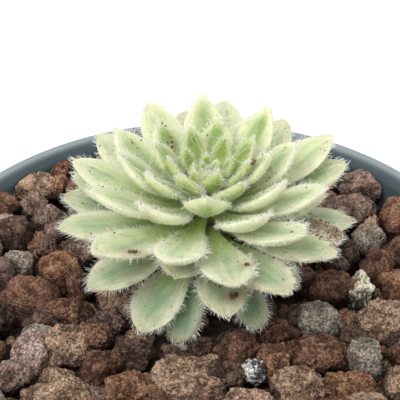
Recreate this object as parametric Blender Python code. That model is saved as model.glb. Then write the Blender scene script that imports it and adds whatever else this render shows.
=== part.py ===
"""Potted cobweb houseleek: a round nursery pot, potting mix, lava gravel and one rosette on a short stem.

Units are metres, +Z is up and -Y is the front. The origin is the middle of the pot's underside.
"""

import math
import random

import bmesh
import bpy
from mathutils import Vector

MM = 0.001
GAP = 0.3 * MM

# Pot
POT_HEIGHT = 88 * MM
RIM_RADIUS = 52.5 * MM
LIP_WIDTH = 2.4 * MM
LIP_HEIGHT = 2.6 * MM
LIP_ROUND = 0.7 * MM
BAND_HEIGHT = 13 * MM
BAND_RADIUS = 50.9 * MM
BAND_STEP = 0.6 * MM
SHOULDER_RADIUS = 49.4 * MM
BASE_RADIUS = 37 * MM
BASE_ROUND = 1 * MM
WALL = 1.5 * MM
FLOOR = 2 * MM
POT_SIDES = 40
DRAIN_HOLES = 6
DRAIN_RADIUS = 3.5 * MM
DRAIN_RING = 25 * MM
DRAIN_SIDES = 12

# Filling
MIX_TOP = POT_HEIGHT - 18 * MM
GRAVEL_LEVEL = POT_HEIGHT - 9.5 * MM
FILLING_SIDES = 40

# Stones, in millimetres: their crests stand this far from the rim plane, and rise towards the wall
STONE_RADII = (3.6, 5.4)
LOWER_RADII = (3.2, 4.6)
STONE_LENGTH_SHARE = (1.02, 1.16)
STONE_WIDTH_SHARE = (0.92, 1.02)
STONE_KNOBS = (0.92, 1.16)
STONE_TRIES = 9000
STONE_SPACING = 0.84
LOWER_SPACING = 0.87
LOWER_SHIFT = 0.62
LOWER_DROP = 2.9
WALL_STONES = 32
WALL_SEAT = 0.85
WALL_PLAY = 0.3
STONE_CREST = -3.9
EDGE_RISE = 2.9
CREST_PLAY = 0.6
LEAST_RELIEF = 0.8
STONE_SEED = 7
LEAF_ROOM = 0.5
SIDE_ROOM = 0.5
OVERHANG_STATIONS = (0.2, 0.3, 0.4, 0.5, 0.6, 0.7, 0.8, 0.9, 0.99)
OVERHANG_ANGLES = (180, 225, 270, 315, 360)

# The stones that stand out at the front: place, length, width and turn, in millimetres and degrees
LANDMARK_STONES = (
    (-34, 34, 8, 7, 0),
    (-29, 34, 5, 5, 0),
    (-28, 39, 5, 6, 0),
    (-39, 28, 6, 6, 0),
    (-33, 28, 6, 6, 0),
    (-29, 25, 8, 7, 10),
    (-36, 20, 7, 8, 0),
    (-41, 15, 7, 8, 0),
    (-28, 19, 4, 4, 0),
    (-29, 15, 4, 5, 0),
    (-34, 12, 6, 7, 0),
    (-26, 11, 10, 8, 0),
    (-31, 4, 12, 11, -10),
    (-22, 6, 5, 7, 0),
    (-23, -1, 8, 6, -10),
    (-36, -4, 6, 7, 0),
    (-29, -12, 7, 11, -20),
    (-23, -9, 11, 9, 20),
    (-16, -5, 6, 5, 0),
    (-18, -8, 6, 5, 0),
    (-12, -12, 8, 6, 0),
    (-17, -15, 7, 8, 0),
    (-12, -20, 10, 8, 0),
    (-3, -17, 13, 11, 10),
    (-23, -22, 12, 8, 0),
    (-31, -18, 6, 6, 0),
    (0, -7, 8, 7, 0),
    (7, -11, 7, 8, 0),
    (14, -6, 7, 6, 0),
    (12, -14, 6, 8, 0),
    (20, -12, 12, 8, 5),
    (21, -4, 9, 7, 0),
    (24, 5, 10, 7, 0),
    (29, 4, 5, 8, 0),
    (33, -3, 11, 9, 10),
    (28, -13, 6, 8, 0),
    (16, -20, 9, 8, 0),
    (24, -20, 8, 7, 0),
    (4, -17, 8, 6, 0),
    (7, -23, 9, 7, 0),
    (9, -17, 4, 4, 0),
    (35, -13, 7, 6, 0),
    (33, -20, 7, 8, 0),
    (26, -9, 5, 4, 0),
    (33, 34, 9, 7, 0),
    (30, 28, 11, 8, -10),
    (39, 24, 8, 10, 0),
    (32, 18, 7, 6, 0),
    (33, 11, 6, 8, 0),
    (38, 14, 7, 7, 0),
    (36, 5, 7, 7, 0),
    (28, 14, 4, 5, 0),
    (25, 10, 5, 4, 0),
)

# Stem: its largest radius in millimetres, and what that loses for each millimetre up or down from the knee
PLANT_X = 1.2 * MM
PLANT_Y = 9.7 * MM
STEM_TOP = POT_HEIGHT + 11.5 * MM
STEM_KNEE = POT_HEIGHT - 6 * MM
STEM_FOOT = POT_HEIGHT - 34 * MM
STEM_GIRTH = 5.7
UPPER_TAPER = 0.18
LOWER_TAPER = 0.11
STEM_SIDES = 14

# Rosette: the leaves follow one spiral, leaf 0 the youngest, and turns are counted from the front
LEAVES = 68
HEART_LEAVES = 16
FIRST_TURN = 183.0
DIVERGENCE = 137.4
LEAF_SIDES = 8
LEAF_STATIONS = (0, 0.2, 0.42, 0.62, 0.78, 0.9, 0.975)
YOUNG_SIDES = 6
YOUNG_STATIONS = (0, 0.3, 0.6, 0.85)
CORE_SIDES = 10
CORE_PROFILE = ((2.3, 0), (2.6, 1.2), (2.0, 2.6), (0, 3.4))

# Leaf number, then a length in millimetres; heights are above the rim
TIP_REACH = ((0, 3), (6, 7), (12, 10), (20, 16), (28, 22), (36, 26.5), (58, 26.5), (62, 21), (67, 20))
TIP_HEIGHT = (
    (0, 18),
    (6, 20.5),
    (20, 20.8),
    (28, 17.5),
    (36, 13.5),
    (44, 10),
    (52, 6),
    (58, 3.5),
    (62, -3),
    (67, -4),
)
ROOT_HEIGHT = ((0, 13.4), (15, 12.8), (16, 11.4), (36, 7.4), (50, 3.6), (60, 0.6), (67, -1.8))
YOUNG_ROOT_REACH = ((0, 0.6), (15, 2.2))
ROOT_SEAT = 0.42
LEAF_WIDTH = ((0, 2.6), (5, 3.9), (10, 5.4), (17, 7.4), (25, 8.1), (36, 8.9), (56, 9.0), (62, 7.3), (67, 6.4))
LEAF_DEPTH = ((0, 1.4), (10, 1.7), (20, 1.9), (36, 2.0), (67, 1.8))

# Leaf number, then how far the blade bends up, in degrees, at its root and its tip
RISE_BEND = ((0, 26), (16, 22), (28, 16), (40, 8), (50, 2), (58, -4), (62, -24), (67, -30))

# Leaf number, then the powers of the curve that its tip follows: an acute tip while young, rounder with age
TIP_CURVE = ((0, 1.45), (20, 1.6), (32, 2.2), (67, 2.5))
TIP_FULLNESS = ((0, 0.97), (20, 0.92), (32, 0.76), (67, 0.70))

# Blade: shares of its length, width and depth
ROOT_PULL = 0.36
TIP_PULL = 0.34
WIDEST_AT = 0.64
ROOT_SHARE = 0.27
UPPER_DEPTH = 0.38
LOWER_DEPTH = 0.62
DISH = 0.16
THIN_FROM = 0.85
END_DEPTH = 0.42

# Leaves that grew off the spiral: turn in degrees, then reach and height in millimetres
STRAYS = {
    9: (-8, 0, 0),
    12: (0, 0, -1),
    14: (0, 1, 0),
    15: (0, -1.5, 0),
    18: (0, 1.5, 1.8),
    21: (-6, 0.5, 1.3),
    22: (0, 1, 0),
    23: (2, -2, 0),
    25: (7, 0, 1),
    26: (0, -1, -2),
    28: (0, -1, 0),
    29: (0, 0.5, 1),
    30: (0, 1.5, -1),
    31: (-5, 2, 0.2),
    33: (2, -1, 1.5),
    34: (-3, 0, 1),
    35: (2, 0, -1.5),
    36: (-4, -6, -1),
    37: (2, 0.5, -0.5),
    38: (5, 0, 0),
    39: (4, 0, 1),
    40: (5, 0, -3),
    41: (-3, 0, -1),
    42: (-5, 0, 1.6),
    43: (13, -7, -2.1),
    44: (0, 0, 2.5),
    45: (9, -1.5, 1.5),
    46: (4, 1, 0.5),
    48: (9.5, -1, -5.2),
    49: (0, -2, -1),
    51: (-6, -15.2, -1.95),
    53: (-5, 0, 2),
    54: (1, -9.5, -3),
    56: (11, -4.5, -8.3),
    59: (-2.5, 0, 3.1),
    61: (0, -4, 0),
    62: (0, -3, 1),
    64: (7, -2, -4),
    67: (-3, 0, 0),
}


def along(number, knots):
    """The value of a straight-line chart at this leaf number."""
    for (n0, v0), (n1, v1) in zip(knots, knots[1:]):
        if number <= n1:
            return v0 + (v1 - v0) * (number - n0) / (n1 - n0)
    return knots[-1][1]


def new_material(name, colour, roughness):
    material = bpy.data.materials.new(name)
    material.use_nodes = True
    shader = material.node_tree.nodes["Principled BSDF"]
    shader.inputs["Base Color"].default_value = (*colour, 1)
    shader.inputs["Roughness"].default_value = roughness
    shader.inputs["Metallic"].default_value = 0
    material.diffuse_color = (*colour, 1)
    return material


def new_object(name, mesh, collection=None):
    obj = bpy.data.objects.new(name, mesh)
    (collection or bpy.context.scene.collection).objects.link(obj)
    return obj


def new_collection(name):
    collection = bpy.data.collections.new(name)
    bpy.context.scene.collection.children.link(collection)
    return collection


def discard(collection):
    """Removes a collection and the helper objects in it."""
    for obj in list(collection.objects):
        bpy.data.objects.remove(obj)
    bpy.data.collections.remove(collection)


def finish(obj, material, smooth_angle=None):
    """Gives the finished mesh its one material, and smooth shading up to this angle."""
    obj.data.materials.clear()
    obj.data.materials.append(material)
    if smooth_angle is not None:
        obj.data.shade_smooth()
        obj.data.set_sharp_from_angle(angle=math.radians(smooth_angle))
    return obj


def mesh_of(name, points, faces):
    mesh = bpy.data.meshes.new(name)
    mesh.from_pydata(points, [], faces)
    shape = bmesh.new()
    shape.from_mesh(mesh)
    bmesh.ops.recalc_face_normals(shape, faces=shape.faces)
    shape.to_mesh(mesh)
    shape.free()
    return mesh


def ring_faces(rings, sides):
    """Quads between neighbouring rings of points."""
    faces = []
    for ring in range(rings - 1):
        low = ring * sides
        high = low + sides
        for side in range(sides):
            after = (side + 1) % sides
            faces.append((low + side, low + after, high + after, high + side))
    return faces


def turned(name, profile, sides):
    """A solid turned round Z from a profile that starts and ends on the axis."""
    rings = profile[1:-1]
    points = []
    for radius, height in rings:
        for side in range(sides):
            angle = 2 * math.pi * side / sides
            points.append(Vector((radius * math.cos(angle), radius * math.sin(angle), height)))
    faces = ring_faces(len(rings), sides)
    for end, first in ((profile[0], 0), (profile[-1], (len(rings) - 1) * sides)):
        tip = len(points)
        points.append(Vector((0, 0, end[1])))
        faces += [(first + side, first + (side + 1) % sides, tip) for side in range(sides)]
    return mesh_of(name, points, faces)


def apply_boolean(obj, operation, other=None, collection=None):
    """Carries out one Boolean on the object's mesh and keeps the result."""
    modifier = obj.modifiers.new("cut", "BOOLEAN")
    modifier.operation = operation
    modifier.solver = "EXACT"
    if collection:
        modifier.operand_type = "COLLECTION"
        modifier.collection = collection
    else:
        modifier.object = other
    bpy.context.view_layer.update()
    graph = bpy.context.evaluated_depsgraph_get()
    result = bpy.data.meshes.new_from_object(obj.evaluated_get(graph))
    obj.modifiers.clear()
    obj.data = result


def keep_main_shell(mesh):
    """Keeps the largest connected shell, so that sealed hollows are filled and loose scraps are dropped."""
    shape = bmesh.new()
    shape.from_mesh(mesh)
    unseen = set(shape.faces)
    shells = []
    while unseen:
        shell = [unseen.pop()]
        for face in shell:
            beside = {other for edge in face.edges for other in edge.link_faces} & unseen
            unseen -= beside
            shell += beside
        shells.append(shell)
    main = max(shells, key=len)
    scraps = [face for shell in shells if shell is not main for face in shell]
    bmesh.ops.delete(shape, geom=scraps, context="FACES")
    shape.to_mesh(mesh)
    shape.free()


def wall_radius(height):
    """Outer radius of the pot's tapered wall below the band."""
    return BASE_RADIUS + (SHOULDER_RADIUS - BASE_RADIUS) * height / (POT_HEIGHT - BAND_HEIGHT)


def inner_radius(height):
    """Inner radius of the pot at this height."""
    if height > POT_HEIGHT - BAND_HEIGHT:
        return BAND_RADIUS - WALL
    return wall_radius(height) - WALL


def make_pot(material):
    """A tapered plastic pot with a stepped band, a rolled lip and drain holes in its floor."""
    top = POT_HEIGHT
    shoulder = POT_HEIGHT - BAND_HEIGHT
    lip_foot = POT_HEIGHT - LIP_HEIGHT
    profile = [
        (0, 0),
        (BASE_RADIUS - BASE_ROUND, 0),
        (BASE_RADIUS, BASE_ROUND),
        (SHOULDER_RADIUS, shoulder),
        (BAND_RADIUS, shoulder + BAND_STEP),
        (BAND_RADIUS, lip_foot - BAND_STEP),
        (RIM_RADIUS - LIP_ROUND, lip_foot),
        (RIM_RADIUS, lip_foot + LIP_ROUND),
        (RIM_RADIUS, top - LIP_ROUND),
        (RIM_RADIUS - LIP_ROUND, top),
        (RIM_RADIUS - LIP_WIDTH + LIP_ROUND, top),
        (RIM_RADIUS - LIP_WIDTH, top - LIP_ROUND),
        (BAND_RADIUS - WALL, lip_foot),
        (BAND_RADIUS - WALL, shoulder + BAND_STEP),
        (SHOULDER_RADIUS - WALL, shoulder - BAND_STEP),
        (wall_radius(FLOOR) - WALL, FLOOR),
        (0, FLOOR),
    ]
    pot = new_object("pot", turned("pot", profile, POT_SIDES))
    drills = new_collection("drain holes")
    plug = [(0, -FLOOR), (DRAIN_RADIUS, -FLOOR), (DRAIN_RADIUS, 2 * FLOOR), (0, 2 * FLOOR)]
    for hole in range(DRAIN_HOLES):
        angle = 2 * math.pi * hole / DRAIN_HOLES
        drill = new_object("drain hole", turned("drain hole", plug, DRAIN_SIDES), drills)
        drill.location = (DRAIN_RING * math.cos(angle), DRAIN_RING * math.sin(angle), 0)
    apply_boolean(pot, "DIFFERENCE", collection=drills)
    discard(drills)
    return finish(pot, material, 35)


def stem_radius(height):
    """Radius of the stem: thick below the lowest leaves, slim at the heart, tapering to its root end."""
    lift = (height - STEM_KNEE) / MM
    taper = -UPPER_TAPER if lift > 0 else LOWER_TAPER
    return (STEM_GIRTH + taper * lift) * MM


def make_stem(material):
    levels = [STEM_FOOT, STEM_KNEE, STEM_TOP]
    profile = [(0, STEM_FOOT)] + [(stem_radius(z), z) for z in levels] + [(0, STEM_TOP)]
    stem = new_object("stem", turned("stem", profile, STEM_SIDES))
    stem.location = (PLANT_X, PLANT_Y, 0)
    return finish(stem, material, 40)


def cut_stem_hole(obj, low, high):
    """Cuts the plain round hole that the stem stands in."""
    radius = stem_radius(min(high, STEM_KNEE)) + 1.5 * GAP
    profile = [(0, low), (radius, low), (radius, high), (0, high)]
    drill = new_object("stem hole", turned("stem hole", profile, STEM_SIDES))
    drill.location = (PLANT_X, PLANT_Y, 0)
    apply_boolean(obj, "DIFFERENCE", other=drill)
    bpy.data.objects.remove(drill)


def make_mix(material):
    """Potting mix up to the gravel, with the plain hole that the stem's root end stands in."""
    low = FLOOR + GAP
    profile = [
        (0, low),
        (inner_radius(FLOOR) - 2 * GAP, low),
        (inner_radius(MIX_TOP) - 2 * GAP, MIX_TOP),
        (0, MIX_TOP),
    ]
    mix = new_object("potting_mix", turned("potting_mix", profile, FILLING_SIDES))
    cut_stem_hole(mix, STEM_FOOT - GAP, MIX_TOP + FLOOR)
    return finish(mix, material)


def stone_mesh(stone, edge, random_draw):
    """A rough stone in its place: an icosahedron pulled about and stretched, kept off the pot's wall."""
    x, y, length, width, turn = stone
    shape = bmesh.new()
    bmesh.ops.create_icosphere(shape, subdivisions=1, radius=0.5)
    spin = random_draw.uniform(0, math.pi)
    for vert in shape.verts:
        knob = random_draw.uniform(*STONE_KNOBS)
        around = math.atan2(vert.co.y, vert.co.x) + spin
        flat = math.hypot(vert.co.x, vert.co.y) * knob
        ahead = flat * math.cos(around) * length
        aside = flat * math.sin(around) * width
        place = Vector(
            (
                x + math.cos(turn) * ahead - math.sin(turn) * aside,
                y + math.sin(turn) * ahead + math.cos(turn) * aside,
            )
        )
        if place.length > edge:
            place *= edge / place.length
        vert.co = Vector((*place, vert.co.z * width * knob)) * MM
    mesh = bpy.data.meshes.new("stone")
    shape.to_mesh(mesh)
    shape.free()
    return mesh


def low_leaf_points():
    """Points on the undersides of the outer leaves, in millimetres from the pot's axis."""
    points = []
    for number in range(LEAVES // 2, LEAVES):
        spine = leaf_spine(number)
        turn = math.radians(leaf_values(number)[0])
        for station in OVERHANG_STATIONS:
            for angle in OVERHANG_ANGLES:
                skin = placed(leaf_point(number, station, math.radians(angle), spine), turn)
                points.append(skin / MM)
    return points


def stone_top(stone, crest, leaves):
    """How high the stone's crown may stand: its crest, or lower where a leaf lies over it."""
    x, y, length, width, _ = stone
    half = 0.5 * length * STONE_KNOBS[1]
    tops = [crest]
    for point in leaves:
        away = math.hypot(point.x - x, point.y - y)
        if away < half + LEAF_ROOM:
            fall = 0.5 * width * (1 - math.sqrt(max(0, 1 - (away / half) ** 2)))
            tops.append(point.z - LEAF_ROOM + fall)
    return min(tops)


def stands_clear(x, y, radius, stones, spacing):
    """Whether a stone of this radius has this share of its room among the others."""
    return all(
        math.hypot(x - other_x, y - other_y) > spacing * (radius + (long + wide) / 4)
        for other_x, other_y, long, wide, _ in stones
    )


def seeded_stone(x, y, radius, random_draw):
    long = 2 * radius * random_draw.uniform(*STONE_LENGTH_SHARE)
    wide = 2 * radius * random_draw.uniform(*STONE_WIDTH_SHARE)
    return x, y, long, wide, random_draw.uniform(0, math.pi)


def stone_places(edge, random_draw):
    """The upper layer, with the landmark stones and a ring at the wall, then the lower layer in its gaps."""
    upper = [(x, y, long, wide, math.radians(turn)) for x, y, long, wide, turn in LANDMARK_STONES]
    for draw in range(WALL_STONES + STONE_TRIES):
        radius = random_draw.uniform(*STONE_RADII)
        furthest = edge - WALL_SEAT * radius
        away = furthest * math.sqrt(random_draw.random())
        around = random_draw.uniform(0, 2 * math.pi)
        if draw < WALL_STONES:
            away = furthest
            around = 2 * math.pi * (draw + random_draw.uniform(0, WALL_PLAY)) / WALL_STONES
        x, y = away * math.cos(around), away * math.sin(around)
        if stands_clear(x, y, radius, upper, STONE_SPACING):
            upper.append(seeded_stone(x, y, radius, random_draw))
    lower = []
    for _ in range(STONE_TRIES):
        radius = random_draw.uniform(*LOWER_RADII)
        away = (edge - WALL_SEAT * radius) * math.sqrt(random_draw.random())
        around = random_draw.uniform(0, 2 * math.pi)
        x, y = away * math.cos(around), away * math.sin(around)
        in_gap = stands_clear(x, y, radius, upper, LOWER_SHIFT)
        if in_gap and stands_clear(x, y, radius, lower, LOWER_SPACING):
            lower.append(seeded_stone(x, y, radius, random_draw))
    return upper, lower


def make_gravel(material):
    """A bed of lava gravel: stones sunk in a base layer, lower where leaves hang over them."""
    random_draw = random.Random(STONE_SEED)
    shoulder = POT_HEIGHT - BAND_HEIGHT
    bed_radius = inner_radius(GRAVEL_LEVEL) - 2 * GAP
    low = MIX_TOP + GAP
    bed = [
        (0, low),
        (inner_radius(low) - 2 * GAP, low),
        (inner_radius(shoulder) - 2 * GAP, shoulder),
        (bed_radius, shoulder + 2 * BAND_STEP),
        (bed_radius, GRAVEL_LEVEL),
        (0, GRAVEL_LEVEL),
    ]
    gravel = new_object("gravel", turned("gravel", bed, FILLING_SIDES))
    leaves = low_leaf_points()
    edge = inner_radius(GRAVEL_LEVEL) / MM - SIDE_ROOM
    stones = new_collection("stones")
    upper, lower = stone_places(edge, random_draw)
    for index, place in enumerate(upper + lower):
        outward = math.hypot(place[0], place[1]) / edge
        crest = STONE_CREST + EDGE_RISE * outward**2 + random_draw.uniform(-CREST_PLAY, CREST_PLAY)
        if index >= len(upper):
            crest -= LOWER_DROP
        top = stone_top(place, POT_HEIGHT / MM + crest, leaves)
        mesh = stone_mesh(place, edge, random_draw)
        if top < GRAVEL_LEVEL / MM + LEAST_RELIEF:
            bpy.data.meshes.remove(mesh)
            continue
        stone = new_object("stone", mesh, stones)
        stone.location.z = top * MM - max(vert.co.z for vert in mesh.vertices)
    apply_boolean(gravel, "UNION", collection=stones)
    discard(stones)
    cut_stem_hole(gravel, MIX_TOP - FLOOR, POT_HEIGHT)
    keep_main_shell(gravel.data)
    return finish(gravel, material)


def leaf_values(number):
    """Turn in degrees, then the tip's reach and height in millimetres."""
    turn, reach, height = STRAYS.get(number, (0, 0, 0))
    turn += FIRST_TURN + DIVERGENCE * number
    return turn, along(number, TIP_REACH) + reach, along(number, TIP_HEIGHT) + height


def leaf_root(number):
    """Reach and height of the leaf's root: in the heart's core, or seated on the stem."""
    height = along(number, ROOT_HEIGHT)
    if number < HEART_LEAVES:
        return along(number, YOUNG_ROOT_REACH), height
    return stem_radius(POT_HEIGHT + height * MM) / MM + ROOT_SEAT, height


def leaf_spine(number):
    """Four control points of the leaf's midline, as (reach, height) in millimetres."""
    reach, height = leaf_values(number)[1:]
    root = leaf_root(number)
    run = math.hypot(reach - root[0], height - root[1])
    slope = math.atan2(height - root[1], reach - root[0])
    bend = math.radians(along(number, RISE_BEND))
    pull = ROOT_PULL * run
    first = (root[0] + pull * math.cos(slope - bend), root[1] + pull * math.sin(slope - bend))
    pull = TIP_PULL * run
    last = (reach - pull * math.cos(slope + bend), height - pull * math.sin(slope + bend))
    return root, first, last, (reach, height)


def bezier(points, t):
    """Place and direction on a cubic curve."""
    a, b, c, d = points
    s = 1 - t
    shares = (s * s * s, 3 * s * s * t, 3 * s * t * t, t * t * t)
    place = [shares[0] * a[k] + shares[1] * b[k] + shares[2] * c[k] + shares[3] * d[k] for k in (0, 1)]
    way = [s * s * (b[k] - a[k]) + 2 * s * t * (c[k] - b[k]) + t * t * (d[k] - c[k]) for k in (0, 1)]
    return place, math.atan2(way[1], way[0])


def leaf_outline(number, t):
    """Width of the blade at this part of its length: slim root, widest past the middle, pointed tip."""
    if t < WIDEST_AT:
        x = t / WIDEST_AT
        return ROOT_SHARE + (1 - ROOT_SHARE) * x * x * (3 - 2 * x) ** 0.9
    x = (t - WIDEST_AT) / (1 - WIDEST_AT)
    return (1 - x ** along(number, TIP_CURVE)) ** along(number, TIP_FULLNESS)


def leaf_swell(t):
    """Thickness of the blade at this part of its length."""
    if t < THIN_FROM:
        return END_DEPTH + (1 - END_DEPTH) * math.sin(math.pi * (0.10 + 0.72 * t)) ** 0.8
    return END_DEPTH + 2.4 * (1 - t)


def leaf_point(number, t, angle, spine):
    """A point of the blade's skin, in the leaf's own reach, side and height, in millimetres."""
    (reach, height), slope = bezier(spine, t)
    half = 0.5 * along(number, LEAF_WIDTH) * leaf_outline(number, t)
    depth = along(number, LEAF_DEPTH) * leaf_swell(t)
    share = UPPER_DEPTH if math.sin(angle) > 0 else LOWER_DEPTH
    lift = depth * math.sin(angle) * share + DISH * half * math.cos(angle) ** 2
    return (reach - lift * math.sin(slope), half * math.cos(angle), height + lift * math.cos(slope))


def placed(point, turn):
    """Turns a leaf's own point round the plant's axis and puts it in the pot."""
    out = Vector((math.sin(turn), -math.cos(turn), 0))
    across = Vector((math.cos(turn), math.sin(turn), 0))
    reach, side, height = point
    middle = Vector((PLANT_X, PLANT_Y, POT_HEIGHT))
    return middle + MM * (out * reach + across * side + Vector((0, 0, height)))


def leaf_mesh(number, stations, sides):
    """A fleshy blade: lens-shaped rings along its midline, flat at the root and closed at the tip."""
    spine = leaf_spine(number)
    turn = math.radians(leaf_values(number)[0])
    points = []
    for t in stations:
        for side in range(sides):
            points.append(placed(leaf_point(number, t, 2 * math.pi * side / sides, spine), turn))
    faces = ring_faces(len(stations), sides)
    faces.append(tuple(range(sides)))
    tip = len(points)
    points.append(placed((spine[3][0], 0, spine[3][1]), turn))
    last = tip - sides
    faces += [(last + side, last + (side + 1) % sides, tip) for side in range(sides)]
    return mesh_of(f"leaf_{number:02d}", points, faces)


def make_leaves(material):
    for number in range(HEART_LEAVES, LEAVES):
        leaf = new_object(f"leaf_{number:02d}", leaf_mesh(number, LEAF_STATIONS, LEAF_SIDES))
        finish(leaf, material, 50)


def make_heart(material):
    """The youngest leaves, grown together round the growing point."""
    low = STEM_TOP + GAP
    core = [(0, low)] + [(radius * MM, low + rise * MM) for radius, rise in CORE_PROFILE]
    heart = new_object("heart", turned("heart", core, CORE_SIDES))
    heart.location = (PLANT_X, PLANT_Y, 0)
    young = new_collection("young leaves")
    for number in range(HEART_LEAVES):
        new_object(f"young_{number:02d}", leaf_mesh(number, YOUNG_STATIONS, YOUNG_SIDES), young)
    apply_boolean(heart, "UNION", collection=young)
    discard(young)
    keep_main_shell(heart.data)
    return finish(heart, material)


def clear_scene():
    for obj in list(bpy.data.objects):
        bpy.data.objects.remove(obj)


def main():
    clear_scene()
    make_pot(new_material("pot plastic", (0.10, 0.13, 0.15), 0.5))
    make_mix(new_material("potting mix", (0.05, 0.035, 0.025), 0.95))
    make_gravel(new_material("lava gravel", (0.21, 0.10, 0.065), 0.9))
    make_stem(new_material("stem", (0.22, 0.17, 0.09), 0.8))
    make_leaves(new_material("leaf", (0.55, 0.68, 0.38), 0.6))
    make_heart(new_material("young leaf", (0.50, 0.64, 0.36), 0.65))


main()
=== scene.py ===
"""The look of the potted cobweb houseleek: fine hairy leaves, rough lava stones, the pot and soft light."""

import random
from math import atan2, cos, hypot, pi, radians, sin, sqrt

import bmesh
import bpy
import numpy as np
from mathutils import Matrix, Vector, noise


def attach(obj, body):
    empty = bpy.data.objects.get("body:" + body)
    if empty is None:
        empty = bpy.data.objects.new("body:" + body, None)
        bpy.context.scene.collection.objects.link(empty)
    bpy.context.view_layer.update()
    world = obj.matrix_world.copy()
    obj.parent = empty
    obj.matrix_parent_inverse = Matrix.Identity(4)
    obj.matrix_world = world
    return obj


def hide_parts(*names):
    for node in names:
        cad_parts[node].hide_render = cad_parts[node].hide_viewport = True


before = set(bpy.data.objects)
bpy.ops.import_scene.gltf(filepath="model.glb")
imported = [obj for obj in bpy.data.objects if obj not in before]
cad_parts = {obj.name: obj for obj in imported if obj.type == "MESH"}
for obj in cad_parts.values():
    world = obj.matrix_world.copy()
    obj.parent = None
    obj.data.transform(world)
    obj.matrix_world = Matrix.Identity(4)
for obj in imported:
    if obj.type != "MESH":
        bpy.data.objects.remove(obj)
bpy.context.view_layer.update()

MM = 0.001
GAP = 0.3

# Pot, in millimetres
POT_HEIGHT = 88
RIM_RADIUS = 52.5
LIP_WIDTH = 2.4
LIP_HEIGHT = 2.6
LIP_ROUND = 0.7
BAND_HEIGHT = 13
BAND_RADIUS = 50.9
BAND_STEP = 0.6
SHOULDER_RADIUS = 49.4
BASE_RADIUS = 37
BASE_ROUND = 1
WALL = 1.5
FLOOR = 2
POT_SIDES = 192
SOFT_EDGES = (0.3, 0.1)
DRAIN_HOLES = 6
DRAIN_RADIUS = 3.5
DRAIN_RING = 25
DRAIN_SIDES = 40
# Painted light on the pot, as colour factors: a painted highlight on the lip and painted shade inside the
# wall
LIP_HIGHLIGHT = (1.55, 1.50, 1.45)
INSIDE_SHADE = (0.56, 0.65, 0.69)

# Filling
MIX_TOP = POT_HEIGHT - 18
GRAVEL_LEVEL = POT_HEIGHT - 9.5
BED_SIDES = 120
BED_RINGS = 44
BED_RELIEF = 0.9

# Stones
STONE_RADII = (3.6, 5.4)
LOWER_RADII = (3.2, 4.6)
STONE_LENGTH_SHARE = (1.02, 1.16)
STONE_WIDTH_SHARE = (0.92, 1.02)
STONE_KNOBS = (0.92, 1.16)
STONE_TRIES = 9000
STONE_SPACING = 0.84
LOWER_SPACING = 0.87
LOWER_SHIFT = 0.62
LOWER_DROP = 2.9
WALL_STONES = 32
WALL_SEAT = 0.85
WALL_PLAY = 0.3
STONE_CREST = -3.9
EDGE_RISE = 2.9
CREST_PLAY = 0.6
LEAST_RELIEF = 0.8
STONE_SEED = 7
LEAF_ROOM = 0.5
SIDE_ROOM = 0.5
OVERHANG_STATIONS = (0.2, 0.3, 0.4, 0.5, 0.6, 0.7, 0.8, 0.9, 0.99)
OVERHANG_ANGLES = (180, 225, 270, 315, 360)

# Stone tones: body, dust and pit colours
TONES = {
    "tan": ((0.470, 0.305, 0.200), (0.64, 0.46, 0.33), (0.10, 0.058, 0.040)),
    "rust": ((0.215, 0.105, 0.067), (0.36, 0.205, 0.14), (0.055, 0.028, 0.020)),
    "orange": ((0.31, 0.155, 0.086), (0.48, 0.285, 0.18), (0.080, 0.038, 0.023)),
    "dark": ((0.140, 0.082, 0.060), (0.27, 0.175, 0.135), (0.035, 0.022, 0.017)),
    "plum": ((0.195, 0.120, 0.102), (0.34, 0.235, 0.20), (0.055, 0.034, 0.030)),
    "mauve": ((0.285, 0.188, 0.145), (0.45, 0.32, 0.26), (0.085, 0.052, 0.040)),
    "grey": ((0.36, 0.300, 0.240), (0.53, 0.46, 0.385), (0.100, 0.080, 0.064)),
    "pink": ((0.46, 0.315, 0.270), (0.61, 0.475, 0.41), (0.19, 0.110, 0.095)),
    "lime": ((1.00, 0.91, 0.62), (1.00, 0.96, 0.82), (0.03, 0.027, 0.02)),
    "salt": ((0.80, 0.78, 0.74), (1.00, 0.98, 0.95), (0.02, 0.02, 0.02)),
}
COMMON_TONES = ("rust", "rust", "tan", "mauve", "orange", "dark", "rust", "tan", "plum", "grey", "mauve")

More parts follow.
